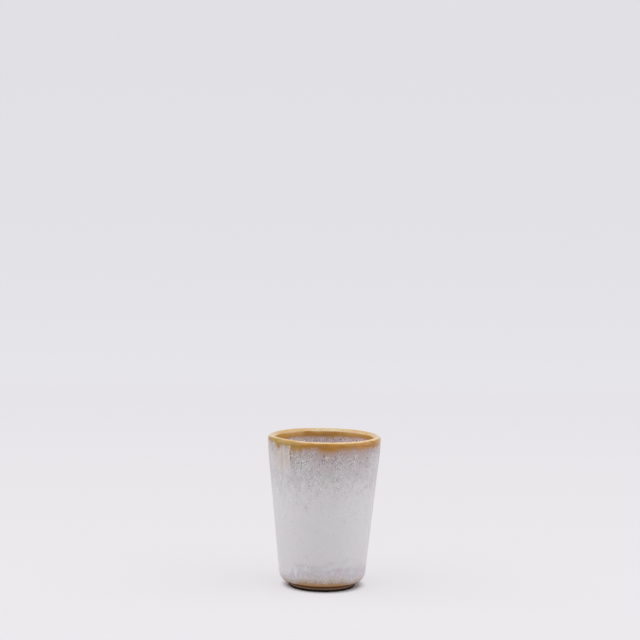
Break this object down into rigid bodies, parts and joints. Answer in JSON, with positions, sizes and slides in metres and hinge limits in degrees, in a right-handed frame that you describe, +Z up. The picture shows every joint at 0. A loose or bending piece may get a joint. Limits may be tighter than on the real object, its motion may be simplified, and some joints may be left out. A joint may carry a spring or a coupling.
{
  "type": "espresso cup",
  "caption": "Handle-less tapered stoneware espresso cup with a full-round lip, a low foot ring and a white reactive glaze run over a honey-amber one.",
  "frame": {"origin": "on the table plane, at the middle of the foot ring", "axes": "+Z up along the axis of the cup; -Y is the side that faces the camera in the picture, +X is to its right"},
  "size_m": [0.055, 0.055, 0.0735],
  "materials": {
    "bare_stoneware": "bare fired stoneware, matt",
    "honey_glaze": "glossy honey-amber glaze",
    "outer_white_glaze": "satin white reactive glaze, speckled and streaked near its upper edge",
    "inner_white_glaze": "satin lilac-white glaze, speckled"
  },
  "bodies": {
    "root": {"stoneware_body": "bare_stoneware", "honey_glaze": "honey_glaze", "outer_white_glaze": "outer_white_glaze", "inner_white_glaze": "inner_white_glaze"}
  },
  "joints": []
}
